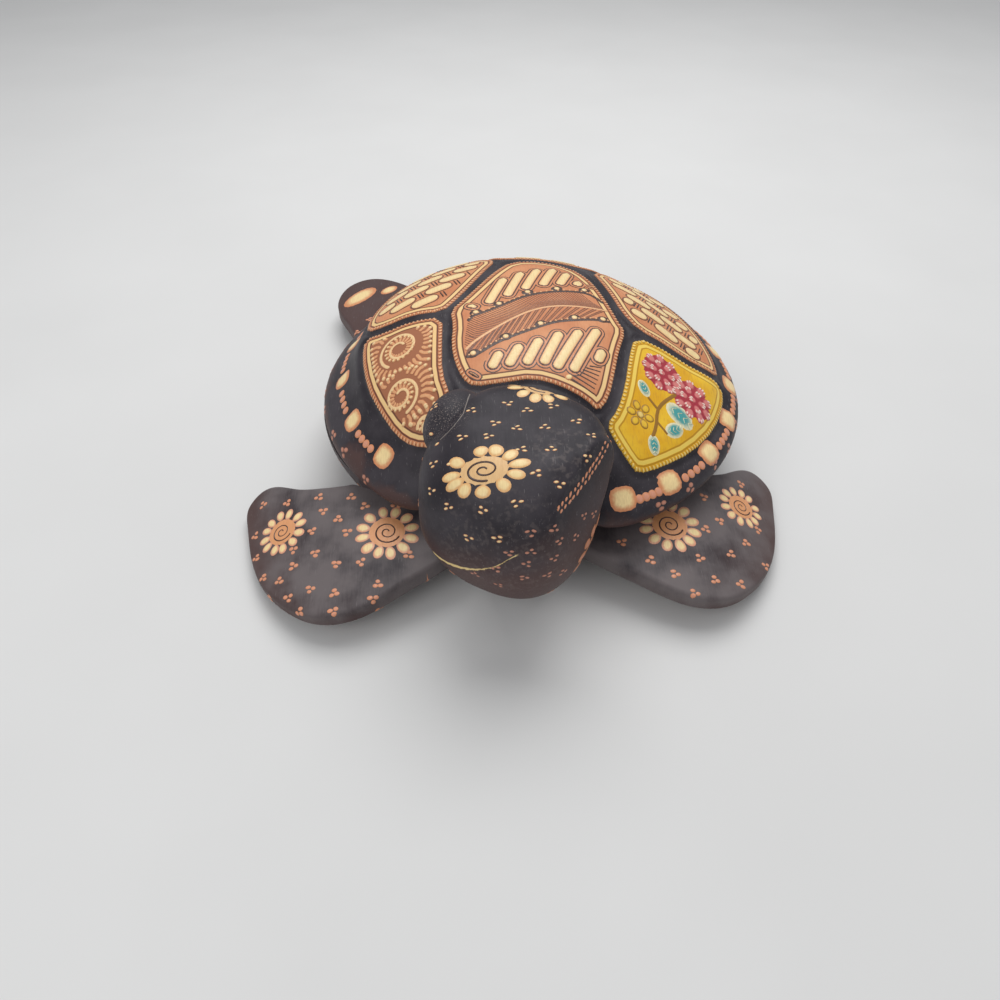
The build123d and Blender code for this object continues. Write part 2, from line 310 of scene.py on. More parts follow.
def wax_finish():
    """Colour runs from each mark's core to its rim, which has taken up a little dye."""
    finish = Finish("wax_marked_wood", Coat_Weight=0.06, Coat_Roughness=0.4)
    core = finish.attribute("core", "Color")
    rim = finish.attribute("rim_colour", "Color")
    share = finish.attribute("rim")
    place = finish.place()
    fleck = finish.noise(place, 1400.0, 4.0)
    edge = (share + (fleck - 0.5) * 0.35).ramp(0.45, 0.95)
    colour = finish.blend(edge, core, rim)
    grain = finish.noise(finish.mapped(place, (0, 0, 0), (1.0, 0.08, 0.4)), 3000.0, 3.0)
    shade = finish.blend(grain.ramp(0.3, 0.75, 0.0, 0.35), colour, wax_fibre)
    finish.drive("Base Color", finish.blend(0.5, colour, shade))
    finish.drive("Roughness", fleck.ramp(0.3, 0.7, 0.35, 0.55))
    finish.bump(grain, 0.04, 0.5)
    return finish


wax = wax_finish()


def mode(name):
    """Puts the active piece in edit mode or back in object mode."""
    bpy.ops.object.mode_set(mode=name)


def dab_shape(sides, insets):
    """A flat round dab of unit radius, modelled once: its corners and its faces."""
    bpy.ops.object.select_all(action="DESELECT")
    below = (0, 0, -0.5)
    bpy.ops.mesh.primitive_cylinder_add(vertices=sides, depth=1, end_fill_type="TRIFAN", location=below)
    disc = bpy.context.object
    mode("EDIT")
    bpy.ops.mesh.select_mode(type="FACE")
    bpy.ops.mesh.select_all(action="DESELECT")
    mode("OBJECT")
    for face in disc.data.polygons:
        face.select = face.normal.z > 0.5
    mode("EDIT")
    for thickness, rise in insets:
        bpy.ops.mesh.inset(thickness=thickness, depth=rise)
    mode("OBJECT")
    bpy.ops.object.transform_apply()
    corners = [tuple(v.co) for v in disc.data.vertices]
    faces = [tuple(face.vertices) for face in disc.data.polygons]
    bpy.data.objects.remove(disc)
    return corners, faces


large_dab = dab_shape(16, ((0.22, 0.6), (0.33, 0.4)))
small_dab = dab_shape(10, ((0.35, 1.0),))


def oval(angle):
    """Round, or stretched evenly."""
    return 1.0


def petal(angle):
    """Narrower towards the flower's middle, which lies at the angle of half a turn."""
    return 1.0 - 0.10 * (1 - cos(angle)) * abs(sin(angle))


def pebble(angle, power=3.2):
    """A rounded square."""
    return (abs(cos(angle)) ** power + abs(sin(angle)) ** power) ** (-1 / power)


class Marks:
    """Wax marks drawn flat in millimetres; lay(x, y, height) gives each point its place on the wood."""

    def __init__(self):
        self.points = []
        self.faces = []
        self.rims = []
        self.colours = []

    def add(self, lay, points, faces, colours):
        """Points are x, y, height and how near the mark's rim they are, from 0 to 1."""
        start = len(self.points)
        for x, y, height, share in points:
            self.points.append(lay(x, y, height))
            self.rims.append(share)
            self.colours.append(colours)
        self.faces += [[start + corner for corner in face] for face in faces]

    def dab(self, lay, x, y, length, width, turn=0.0, colours=waxed, height=mark_rise, form=oval):
        """One touch of the pen, longest along its turn."""
        corners, faces = small_dab if max(length, width) < small_mark else large_dab
        c, s = cos(turn), sin(turn)
        points = []
        for u, v, w in corners:
            share = min(hypot(u, v), 1.0)
            reach = form(atan2(v, u)) / 2
            a, b = u * length * reach, v * width * reach
            rise = height * w if w > 0 else mark_sink * w
            points.append((x + a * c - b * s, y + a * s + b * c, rise, share))
        self.add(lay, points, faces, colours)

    def stroke(self, lay, path, width, colours, height, taper=1.0, step=2.0):
        """A drawn line with round ends. At its far end it is taper times as wide."""
        lengths = [0.0]
        for one, two in zip(path, path[1:]):
            lengths.append(lengths[-1] + dist(one, two))
        total = lengths[-1]
        cap = min(width / 2, total / 3)
        stops = [cap * share for share in cap_shares]
        steps = max(int((total - 2 * cap) / step), 1)
        stops += [cap + (total - 2 * cap) * k / steps for k in range(1, steps)]
        stops += [total - cap * share for share in reversed(cap_shares)]
        points = []
        for stop in stops:
            k = max(i for i in range(len(path) - 1) if lengths[i] <= stop)
            span = (stop - lengths[k]) / max(lengths[k + 1] - lengths[k], 1e-6)
            x, y = between(path[k], path[k + 1], span)
            dx, dy = (b - a for a, b in zip(path[k], path[k + 1]))
            norm = max(hypot(dx, dy), 1e-6)
            end = min(stop, total - stop, cap) / cap
            half = width / 2 * sqrt(1 - (1 - end) ** 2) * (1 + (taper - 1) * stop / total)
            dx, dy = -dy / norm * half, dx / norm * half
            points += [
                (x + dx, y + dy, height * 0.3, 1.0),
                (x, y, height, 0.0),
                (x - dx, y - dy, height * 0.3, 1.0),
                (x, y, -mark_sink, 1.0),
            ]
        faces = [(0, 1, 2, 3)]
        for ring in range(len(stops) - 1):
            for side in range(4):
                a, b = ring * 4 + side, ring * 4 + (side + 1) % 4
                faces.append((a, a + 4, b + 4, b))
        last = 4 * (len(stops) - 1)
        faces.append((last + 3, last + 2, last + 1, last))
        self.add(lay, points, faces, colours)

    def finish(self, name, body, slot):
        """Makes one piece of all the marks, kept inside the box of the solids."""
        low, high = cad_box
        inside = [[min(max(c, a), b) for c, a, b in zip(point, low, high)] for point in self.points]
        mesh = bpy.data.meshes.new(name)
        mesh.from_pydata(inside, [], self.faces)
        mesh.attributes.new("rim", "FLOAT", "POINT").data.foreach_set("value", self.rims)
        for which, layer in enumerate(("core", "rim_colour")):
            flat = [c for colours in self.colours for c in (*colours[which], 1.0)]
            mesh.attributes.new(layer, "FLOAT_COLOR", "POINT").data.foreach_set("color", flat)
        piece = bpy.data.objects.new(name, mesh)
        wear(piece, wax)
        scene.collection.objects.link(piece)
        bpy.context.view_layer.objects.active = piece
        piece.select_set(True)
        mode("EDIT")
        bpy.ops.mesh.select_all(action="SELECT")
        bpy.ops.mesh.normals_make_consistent(inside=False)
        mode("OBJECT")
        bpy.ops.object.shade_smooth_by_angle(angle=radians(50))
        piece.select_set(False)
        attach(piece, body)


def between(one, two, share):
    """The point at a share of the way from one to two."""
    return tuple(a + (b - a) * share for a, b in zip(one, two))


def turned(x, y, reach, angle):
    """The point at a distance and an angle from another one."""
    return x + reach * cos(angle), y + reach * sin(angle)


def surface(piece):
    """The piece's wood, for lines of sight to meet."""
    mesh = piece.data
    return BVHTree.FromPolygons([v.co for v in mesh.vertices], [face.vertices for face in mesh.polygons])


def seen(wood, pixel):
    """Where the line of sight through a pixel of the photograph meets the wood."""
    u, v = pixel
    sight = Vector(((u - photo_size / 2) / focal_pixels, (photo_size / 2 - v) / focal_pixels, -1))
    sight.rotate(camera_turn)
    return wood.ray_cast(camera_place, sight)[:2]


to_right = Vector((1, 0, 0))


def patch(wood, spot, normal, level=to_right):
    """Lays drawings on the wood about a spot; their x axis is as near to level as the wood allows."""
    across = (level - normal * level.dot(normal)).normalized()
    along = normal.cross(across)

    def lay(x, y, height):
        start = spot + (across * x + along * y + normal * cast_height) * MM
        hit, facing, _, _ = wood.ray_cast(start, -normal, cast_reach * MM)
        if hit is None:
            hit, facing, _, _ = wood.find_nearest(start - normal * cast_height * MM)
        return hit + facing * height * MM

    return lay


def patch_at(wood, pixel):
    """The patch of wood that a pixel of the photograph shows."""
    return patch(wood, *seen(wood, pixel))


def cluster(marks, lay, size, colours=salmon_wax, squash=1.0, spread=0.66):
    """Three dots set close together in a triangle, as the pen was dabbed."""
    start = chance.uniform(0, 2 * pi)
    for dot in range(3):
        angle = start + 2 * pi * (dot + chance.uniform(-0.09, 0.09)) / 3
        reach = size * spread * chance.uniform(0.9, 1.1)
        long = size * chance.uniform(0.95, 1.25)
        wide = size * chance.uniform(0.80, 0.95) * squash
        x, y = reach * cos(angle), reach * sin(angle) * squash
        marks.dab(lay, x, y, long, wide, chance.uniform(-0.4, 0.4), colours)


def clusters_at(pixels, marks, wood, *drawing):
    """A cluster wherever a pixel of the photograph shows this wood."""
    for pixel in pixels:
        spot, normal = seen(wood, pixel)
        if spot is not None:
            cluster(marks, patch(wood, spot, normal), *drawing)


def shifted(lay, dx, dy):
    """The same patch of wood, with drawings moved on it."""
    return lambda x, y, height: lay(x + dx, y + dy, height)


def flower(marks, lay, ring, angles, colours, heart=tan, turns=1.75, lean=1.0):
    """Petals at the given angles round a ring, and a spiral drawn in the ring."""
    marks.dab(lay, 0, 0, ring * 2.1, ring * 2.1 * lean, 0, (heart, heart), 0.09)
    for angle in angles:
        angle = radians(angle + chance.uniform(-2.5, 2.5))
        reach = ring * chance.uniform(1.38, 1.46)
        length = ring * chance.uniform(0.84, 0.96)
        width = 2 * pi * ring * 1.42 / len(angles) * chance.uniform(0.84, 0.97)
        x, y = reach * cos(angle), reach * sin(angle) * lean
        turn = atan2(y, x)
        flat = hypot(cos(angle), sin(angle) * lean)
        wide = hypot(sin(angle), cos(angle) * lean)
        marks.dab(lay, x, y, length * flat, width * wide, turn, colours, 0.15, petal)
    spiral = []
    for step in range(int(turns * spiral_steps) + 1):
        share = step / (turns * spiral_steps)
        angle = radians(angles[0]) + 2 * pi * turns * share
        reach = ring * (0.10 + 0.68 * share)
        spiral.append((reach * cos(angle), reach * sin(angle) * lean))
    marks.stroke(lay, spiral, ring * 0.10, inked, 0.20, step=0.5)


# Shell
# The lid of the box: one thick dome with a heavy rim, carved into panels by
# grooves and then waxed and dyed. It turns on a dowel behind the neck, and is
# drawn in the frame that it has when closed, with the dome's top in the middle.
open_angle = radians(10)
pivot = Vector((0, -41, 0))
dome_x = -4.5
dome_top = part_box("shell_lid")[1].z / MM
groove_depth = 0.6
groove_middle = -1.3
groove_half_width = 1.0
shell_face_size = 0.75
far_outside = -9.0
corner_cuts = (0.25, 0.75)
outline_margin = 4
above_dome = 20
dome_rounds = 8
tan_wood = ((0.60, 0.22, 0.095), (0.72, 0.32, 0.15))
yellow_paint = ((0.80, 0.42, 0.012), (0.90, 0.56, 0.03))
pale_lines = ((0.88, 0.60, 0.27), (0.92, 0.66, 0.12))
drawn_lines = ((0.16, 0.055, 0.030), (0.55, 0.27, 0.010))
fibre_brown = (0.42, 0.15, 0.05)
scroll_ground = (0.38, 0.145, 0.070)

centre_panel = (
    (-17.5, -6.8), (-15.6, -13.7), (-15.0, -21.0), (-13.2, -27.0), (-10.6, -31.8), (-7.6, -34.2),
    (0.4, -32.7), (7.5, -30.6), (15.0, -31.4), (21.8, -33.4), (25.2, -35.6), (27.6, -31.0),
    (28.5, -22.0), (29.0, -15.8), (30.7, -6.4), (28.6, -3.4), (25.8, 3.3), (23.0, 10.0),
    (19.4, 18.0), (13.5, 25.0), (4.0, 27.8), (-4.4, 25.0), (-8.8, 14.1), (-11.5, 6.4), (-14.5, -1.1),
)
front_right_panel = (
    (-19.5, -9.7), (-28.3, -9.5), (-36.5, -10.8), (-44.0, -8.5), (-43.3, -16.0), (-39.3, -28.0),
    (-34.3, -36.5), (-28.5, -44.0), (-23.3, -47.6), (-17.0, -48.6), (-13.0, -47.0), (-12.5, -42.0),
    (-13.5, -36.5), (-16.5, -30.0), (-18.0, -20.0),
)
front_left_panel = (
    (33.7, -6.9), (44.3, -5.8), (54.9, -6.2), (64.2, -4.5), (64.5, -11.0), (61.0, -23.4),
    (53.5, -35.3), (44.6, -43.5), (38.3, -47.6), (35.0, -46.0), (30.9, -42.0), (28.0, -38.4),
    (30.6, -33.5), (31.9, -26.0), (32.4, -16.0),
)
rear_right_panel = (
    (-20.0, -6.6), (-29.0, -6.0), (-37.4, -7.2), (-44.5, -4.4), (-46.0, 3.0), (-43.5, 14.0),
    (-37.0, 26.0), (-28.0, 34.0), (-19.5, 37.0), (-14.0, 32.0), (-9.5, 27.0), (-11.8, 15.5),
    (-14.6, 5.5), (-17.2, -1.5),
)
rear_left_panel = (
    (34.6, -2.6), (44.3, -2.6), (55.0, -3.0), (62.5, -1.4), (61.7, 5.0), (58.0, 14.0), (52.0, 25.0),
    (44.0, 34.0), (34.0, 41.0), (27.0, 37.0), (20.8, 28.0), (23.4, 19.5), (26.6, 11.0), (29.6, 3.0),
)
rear_panel = (
    (-7.5, 31.0), (4.0, 33.5), (16.0, 30.5), (22.0, 37.0), (26.0, 44.0), (18.0, 50.0), (4.0, 53.0),
    (-9.0, 49.0), (-15.0, 42.0), (-12.0, 36.0),
)


def rounded(outline):
    """The outline with each corner cut off once, as a carver rounds it."""
    sides = zip(outline, outline[1:] + outline[:1])
    return [between(*side, share) for side in sides for share in corner_cuts]


panels = [rounded(outline) for outline in (
    centre_panel, front_right_panel, front_left_panel, rear_right_panel, rear_left_panel, rear_panel
)]
centre_field, scroll_field, yellow_field, rear_right_field, rear_left_field, rear_field = panels


def depth_in(outline, x, y):
    """How far a point lies inside an outline; outside it the number is negative."""
    nearest = 1e9
    inside = False
    for (ax, ay), (bx, by) in zip(outline, outline[1:] + outline[:1]):
        ex, ey = bx - ax, by - ay
        share = min(max(((x - ax) * ex + (y - ay) * ey) / (ex * ex + ey * ey), 0), 1)
        nearest = min(nearest, (x - ax - ex * share) ** 2 + (y - ay - ey * share) ** 2)
        if (ay > y) != (by > y) and x < ax + ex * (y - ay) / ey:
            inside = not inside
    return sqrt(nearest) if inside else -sqrt(nearest)


panel_boxes = []
for outline in panels:
    left, right, front, rear = (pick(values) for values in zip(*outline) for pick in (min, max))
    panel_boxes.append(
        (left - outline_margin, right + outline_margin, front - outline_margin, rear + outline_margin)
    )


def panel_at(x, y):
    """Depth in the nearest panel, and which panel that is."""
    best = (far_outside, 0)
    for number, (outline, (left, right, front, rear)) in enumerate(zip(panels, panel_boxes)):
        if left < x < right and front < y < rear:
            best = max(best, (depth_in(outline, x, y), number))
    return best


shut = Matrix.Translation(pivot) @ Matrix.Rotation(open_angle, 4, "Z") @ Matrix.Translation(-pivot)
left_open = shut.inverted()


def carved_copy(node_name, name, weld, face_size):
    """A copy of a CAD piece in fine even faces, to be carved; the sizes are in millimetres."""
    piece = nodes[node_name].copy()
    piece.data = piece.data.copy()
    piece.name = name
    piece.parent = None
    scene.collection.objects.link(piece)
    piece.select_set(True)
    bpy.context.view_layer.objects.active = piece
    bpy.ops.mesh.customdata_custom_splitnormals_clear()
    mode("EDIT")
    bpy.ops.mesh.select_all(action="SELECT")
    bpy.ops.mesh.remove_doubles(threshold=weld * MM)
    mode("OBJECT")
    even = piece.modifiers.new("even_faces", "REMESH")
    even.mode = "VOXEL"
    even.voxel_size = face_size * MM
    bpy.ops.object.modifier_apply(modifier=even.name)
    return piece


def carve_shell():
    """The shell, smoothed a little, with the grooves round its panels carved in."""
    shell = carved_copy("shell_lid", "carved_shell", 0.005, shell_face_size)
    smooth = shell.modifiers.new("sanded", "SMOOTH")
    smooth.factor = 0.5
    smooth.iterations = 4
    bpy.ops.object.modifier_apply(modifier=smooth.name)
    mesh = shell.data
    depths = []
    kinds = []
    moved = []
    for vertex in mesh.vertices:
        x, y, z = shut @ (vertex.co / MM)
        x -= dome_x
        depth, number = far_outside, 0
        if vertex.normal.z > 0.02:
            reach = max(hypot(x, y), 0.01)
            stretch = hypot(reach, z - dome_top) / reach
            depth, number = panel_at(x * stretch, y * stretch)
        depths.append(depth)
        kinds.append(float(number if number < 3 else 0))
        carving = groove_depth * exp(-(((depth - groove_middle) / groove_half_width) ** 2))
        moved.append(vertex.co - vertex.normal * carving * MM)
    for vertex, place in zip(mesh.vertices, moved):
        vertex.co = place
    for layer, values in (("panel", depths), ("panel_kind", kinds)):
        mesh.attributes.new(layer, "FLOAT", "POINT").data.foreach_set("value", values)
    bpy.ops.object.shade_smooth()
    shell.select_set(False)
    return shell


def shell_finish():
    """Dyed rim and grooves, and panels of bare tan wood: one dark inside, one painted yellow."""
    finish = Finish("carved_shell_wood", Coat_Roughness=0.4, Specular_IOR_Level=0.3)
    place = finish.place()
    dyed, streaks, clouds = dye(finish, place, 0.0, 0.12, 22.5, 25.5, 0.04)
    depth = finish.attribute("panel")
    kind = finish.attribute("panel_kind")
    yellow = kind.ramp(1.4, 1.6)
    scroll = kind.ramp(0.4, 0.6) * kind.ramp(1.4, 1.6, 1.0, 0.0)
    tans = finish.blend(clouds.ramp(0.3, 0.7), *tan_wood)
    paint = finish.blend(clouds.ramp(0.35, 0.65), *yellow_paint)
    field = finish.blend(yellow, tans, paint)
    fibre = finish.noise(finish.mapped(place, (0, 0, 0), (1.0, 0.1, 0.4)), grain_scale, 3.0)
    field = finish.blend(fibre.ramp(0.45, 0.8, 0.0, 0.35), field, fibre_brown)
    field = finish.blend(depth.ramp(2.5, 2.7) * scroll, field, scroll_ground)
    pale = finish.blend(yellow, *pale_lines)
    drawn = finish.blend(yellow, *drawn_lines)
    for middle, half, colour in ((1.15, 0.22, drawn), (1.95, 0.50, pale), (2.65, 0.20, drawn)):
        line = (depth - middle).math("ABSOLUTE").ramp(half - 0.08, half + 0.08, 1.0, 0.0)
        field = finish.blend(line, field, colour)
    inside = depth.ramp(-0.25, 0.1)
    finish.drive("Base Color", finish.blend(inside, dyed, field))
    finish.drive("Roughness", inside * -0.04 + (clouds * 0.2 + streaks * 0.22) + 0.36)
    finish.drive("Coat Weight", clouds.ramp(0.3, 0.8, 0.03, 0.12))
    finish.bump(streaks, 0.05, 0.5)
    return finish


shell = carve_shell()
wear(shell, shell_finish())
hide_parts("shell_lid")
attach(shell, "lid")
shell_wood = surface(shell)


def on_dome(x, y, height):
    """Lays the dome's pattern, which is measured over the wood from the dome's top."""
    reach = max(hypot(x, y), 0.01)
    share = 0.95
    hit = facing = None
    for _ in range(dome_rounds):
        start = left_open @ Vector((dome_x + x * share, y * share, dome_top + above_dome))
        hit, facing, _, _ = shell_wood.ray_cast(start * MM, Vector((0, 0, -1)))
        if hit is None:
            share *= 0.97
            continue
        share *= reach / hypot(reach * share, hit.z / MM - dome_top)
    if hit is None:
        hit, facing, _, _ = shell_wood.find_nearest(start * MM)
    return hit + facing * height * MM


shell_marks = Marks()


def dome_dab(*drawing):
    """A dab on the dome."""
    shell_marks.dab(on_dome, *drawing)


def dome_stroke(*drawing):
    """A stroke on the dome."""
    shell_marks.stroke(on_dome, *drawing)


def along(outline, step):
    """Evenly spaced points on a closed outline, each with the direction of the outline there."""
    carry = 0.0
    for one, two in zip(outline, outline[1:] + outline[:1]):
        length = dist(one, two)
        angle = atan2(two[1] - one[1], two[0] - one[0])
        while carry < length:
            yield between(one, two, carry / length), angle
            carry += step
        carry -= length


# Beaded edges of the panels
# A close row of short dabs follows each panel's edge, tan on the tan panels
# and pale yellow on the yellow one.
bead_pitch = 1.2
bead_inset = 0.35
bead_slant = 0.35
yellow_bead = ((0.95, 0.70, 0.20), (0.70, 0.38, 0.02))
tan_bead = ((0.84, 0.46, 0.23), (0.55, 0.20, 0.09))
for outline in panels:
    bead = yellow_bead if outline is yellow_field else tan_bead
    for (x, y), angle in along(outline, bead_pitch):
        slant = angle + pi / 2 + bead_slant + chance.uniform(-0.1, 0.1)
        inward = angle + pi / 2
        x, y = turned(x, y, bead_inset, inward)
        if depth_in(outline, x, y) < 0:
            x, y = turned(x, y, -2 * bead_inset, inward)
        dome_dab(x, y, 1.25, 0.85, slant, bead, 0.22)


# Bars and paths
# The bars of the centre and rear panels are drawn in layers, from a dark
# outline up to a cream core. A layer gives how far it reaches past the core,
# its colours and its height. Paths of points are rounded and measured here.
bar_layers = (
    (1.30, inked, 0.05),
    (0.98, (tan, tan), 0.09),
    (0.48, inked, 0.17),
    (0.12, (tan, tan), 0.25),
    (0.0, (cream, (0.90, 0.55, 0.25)), 0.34),
)


def bar(start, end, width, layers=bar_layers):
    """A cream bar with round ends, in tan and dark outlines."""
    length = dist(start, end)
    for grow, colours, height in layers:
        one = between(start, end, -grow / length)
        two = between(start, end, 1 + grow / length)
        dome_stroke((one, two), width + 2 * grow, colours, height)


def along_path(path, share):
    """The point at a share of an open path's length."""
    lengths = [dist(a, b) for a, b in zip(path, path[1:])]
    left = share * sum(lengths)
    for (one, two), length in zip(zip(path, path[1:]), lengths):
        if left <= length:
            return between(one, two, left / length)
        left -= length
    return path[-1]


def soft(path):
    """An open path with its corners rounded."""
    for _ in range(2):
        inner = [between(*side, share) for side in zip(path, path[1:]) for share in corner_cuts]
        path = (path[0], *inner, path[-1])
    return path


def kept_inside(outline, one, two, spare):
    """The line from one to two, with its ends drawn back until they lie inside the outline."""
    for _ in range(30):
        if depth_in(outline, *one) < spare:
            one = between(one, two, 0.06)
        if depth_in(outline, *two) < spare:
            two = between(two, one, 0.06)
    return one, two


# Centre panel
# Two rows of slanting bars, and between them a wing whose barbs fan out from
# a curved spine. Cream dots sit in the dark pockets between the rows.
front_bars = (
    ((-8.6, -32.4), (-7.0, -29.6)), ((-4.6, -32.6), (-1.8, -23.6)), ((-0.5, -32.0), (3.1, -20.6)),
    ((4.0, -31.2), (8.0, -17.6)), ((8.4, -30.6), (13.0, -14.0)), ((12.4, -28.8), (18.2, -11.8)),
    ((17.4, -26.6), (23.0, -9.6)), ((23.6, -21.5), (27.2, -8.0)),
)
rear_bars = (
    ((-12.0, -5.8), (-10.2, 1.0)), ((-7.6, -3.6), (-4.9, 11.0)), ((-3.0, 0.8), (-0.4, 15.6)),
    ((1.6, 5.2), (4.2, 19.0)), ((6.4, 8.2), (8.8, 20.8)), ((11.2, 9.8), (13.4, 20.6)),
    ((16.0, 11.0), (17.6, 17.6)), ((20.2, 11.0), (20.8, 13.4)),
)
for start, end in front_bars + rear_bars:
    bar(*kept_inside(centre_field, start, end, 4.1), 2.4)
bar_wave = soft((
    (-10.6, -25.4), (-8.4, -25.4), (-3.6, -20.6), (1.6, -16.8), (6.6, -13.2), (11.4, -9.6),
    (17.0, -7.4), (22.4, -5.2), (26.4, -4.6),
))
wing_edge = soft((
    (-11.2, -22.6), (-12.0, -16.0), (-11.8, -9.6), (-8.8, -8.4), (-3.1, -3.4), (1.8, 1.6),
    (8.0, 4.8), (14.0, 6.8), (20.0, 7.8), (24.2, 4.0),
))
wing_spine = soft((
    (-11.0, -23.2), (-9.6, -20.8), (-6.2, -17.0), (-0.7, -10.8), (4.2, -5.8), (9.6, -2.6), (16.0, -1.0),
    (25.6, 0.4),
))
wing_top = wing_edge[8:]
barbs = 58
barb_brown = (0.20, 0.065, 0.03)
barb_wax = (barb_brown, barb_brown)
spine_wax = ((0.86, 0.50, 0.24), tan)
for number in range(2, barbs):
    share = number / barbs
    root = along_path(wing_spine, share)
    above = along_path(wing_edge, share * 0.86)
    below = along_path(bar_wave, max(share - 0.16, 0))
    middle = between(root, above, 0.45)
    middle = (middle[0] - 0.9, middle[1] - 0.3)
    dome_stroke((root, middle, above), 0.38, barb_wax, 0.08, 0.7)
    if number % 3 != 1:
        dome_stroke((root, below), 0.38, barb_wax, 0.08, 0.7)
dome_stroke(wing_spine, 0.9, spine_wax, 0.16, 0.8)
path_beads = 26
for path in (bar_wave, wing_top):
    dome_stroke(path, 1.1, inked, 0.14)
    for step in range(path_beads):
        x, y = along_path(path, (step + 0.5) / path_beads)
        dome_dab(x, y + 0.5, 0.8, 0.8, 0, spine_wax, 0.2)
wave_dots = ((-8.8, -24.4), (-1.0, -18.0), (7.6, -11.4), (16.4, -6.6), (24.2, -4.4))
edge_dots = ((-10.4, -8.0), (-4.6, -3.4), (2.6, 3.8), (10.6, 7.2), (18.4, 9.0))
for x, y in wave_dots + edge_dots:
    dome_dab(x, y, 3.6, 2.8, 0.6, inked, 0.18)
    dome_dab(x, y, 2.0, 2.0, 0, waxed, 0.32)
corner = (16.6, -28.6)
corner_gaps = 6
for step in range(corner_gaps + 1):
    far = between((23.4, -31.4), (25.0, -23.0), step / corner_gaps)
    near = between(corner, (21.6, -23.6), step / corner_gaps)
    dome_stroke((near, far), 0.45, inked, 0.08, 0.7)
dome_dab(*corner, 2.2, 1.8, 0.5, waxed, 0.3)


# Rear panels
# Rows of cream bars laid like bricks, each in a brown outline, with two dark
# ticks between neighbours. A bar near the panel's edge is cut short.
brick_brown = (0.20, 0.07, 0.035)
brick_layers = ((0.50, (brick_brown, brick_brown), 0.10), (0.0, (cream, (0.88, 0.52, 0.24)), 0.26))
brick_pitch = 4.6
brick_half = 5.2
brick_width = 3.9
brick_gap = 0.9
shortest_half = 1.3
brick_spare = 3.1
trim_step = 0.4
tick_half = 1.6


def brick_rows(outline, turn):
    """Fills an outline with rows of bricks that stand at a turn."""
    c, s = cos(turn), sin(turn)
    xs, ys = zip(*outline)
    middle = ((min(xs) + max(xs)) / 2, (min(ys) + max(ys)) / 2)

    def spot(a, b):
        return middle[0] + a * c - b * s, middle[1] + a * s + b * c

    for row in range(-9, 10):
        for column in range(-7, 8):
            a = (column + 0.5 * (row % 2)) * (2 * brick_half + brick_gap)
            b = row * brick_pitch
            reach = brick_half
            ends = None
            while reach > shortest_half and ends is None:
                for shift in (0, reach - brick_half, brick_half - reach):
                    trial = [spot(a + shift + way * reach, b) for way in (-1, 1)]
                    if min(depth_in(outline, *end) for end in trial) > brick_spare:
                        ends = trial
                        break
                reach -= trim_step
            if ends is None:
                continue
            bar(between(*ends, 0.12), between(*ends, 0.88), brick_width, brick_layers)
            for side in (-0.5, 0.5):
                tick_x = a + brick_half + 0.55 + side
                tick = [spot(tick_x, b + lift) for lift in (-tick_half, tick_half)]
                if min(depth_in(outline, *end) for end in tick) > 3.0:
                    dome_stroke(tick, 0.42, inked, 0.2)


for field, degrees in ((rear_right_field, 28), (rear_left_field, -14), (rear_field, 0)):
    brick_rows(field, radians(degrees))


# Front right panel
# Feathery scrolls that curl opposite ways, drawn in tan on a dark ground, with
# cream-tipped barbs filling the ground between them.

# A scroll's middle, reach, starting angle and way of turning.
scrolls = ((-30.2, -19.2, 6.2, 0.6, 1), (-27.6, -34.6, 5.4, 2.6, -1), (-19.0, -43.6, 3.0, 0.4, 1))
# How crowded a ring of barbs is and how far out it starts; the barbs' lean, length and width.
barb_rings = ((3.0, 0.34, 0.5, 0.34, 1.05), (5.2, 1.12, 0.3, 0.74, 1.25))
scroll_turns = 1.6
scroll_steps = 39
barb_tan = (0.78, 0.40, 0.19)
barb_cream = (0.93, 0.66, 0.34)
shortest_barb = 0.9
edge_spare = 2.9


def scaled(point, scroll):
    """How far a point is from a scroll's middle, in reaches of that scroll."""
    return hypot(point[0] - scroll[0], point[1] - scroll[1]) / scroll[2]


def barb(x, y, turn, length, bend=0.5, width=1.05, own=None):
    """A short curved stroke with a bright tip, shortened near the panel's edge and near other scrolls."""
    while length > shortest_barb:
        middle = turned(x, y, length * 0.5, turn)
        tip = turned(*middle, length * 0.5, turn + bend)
        others = [scaled(tip, other) for other in scrolls if other is not own]
        clear = min(others) > (1.4 if own is None else scaled(tip, own) + 0.08)
        if depth_in(scroll_field, *tip) > edge_spare and clear:
            break
        length -= trim_step
    if length <= shortest_barb or depth_in(scroll_field, x, y) < edge_spare:
        return
    dome_stroke(((x, y), middle, tip), width * 0.75, (barb_tan, tan), 0.16, 1.25, 0.8)
    dome_dab(*tip, width * 1.1, width, turn + bend, (barb_cream, barb_tan), 0.26)


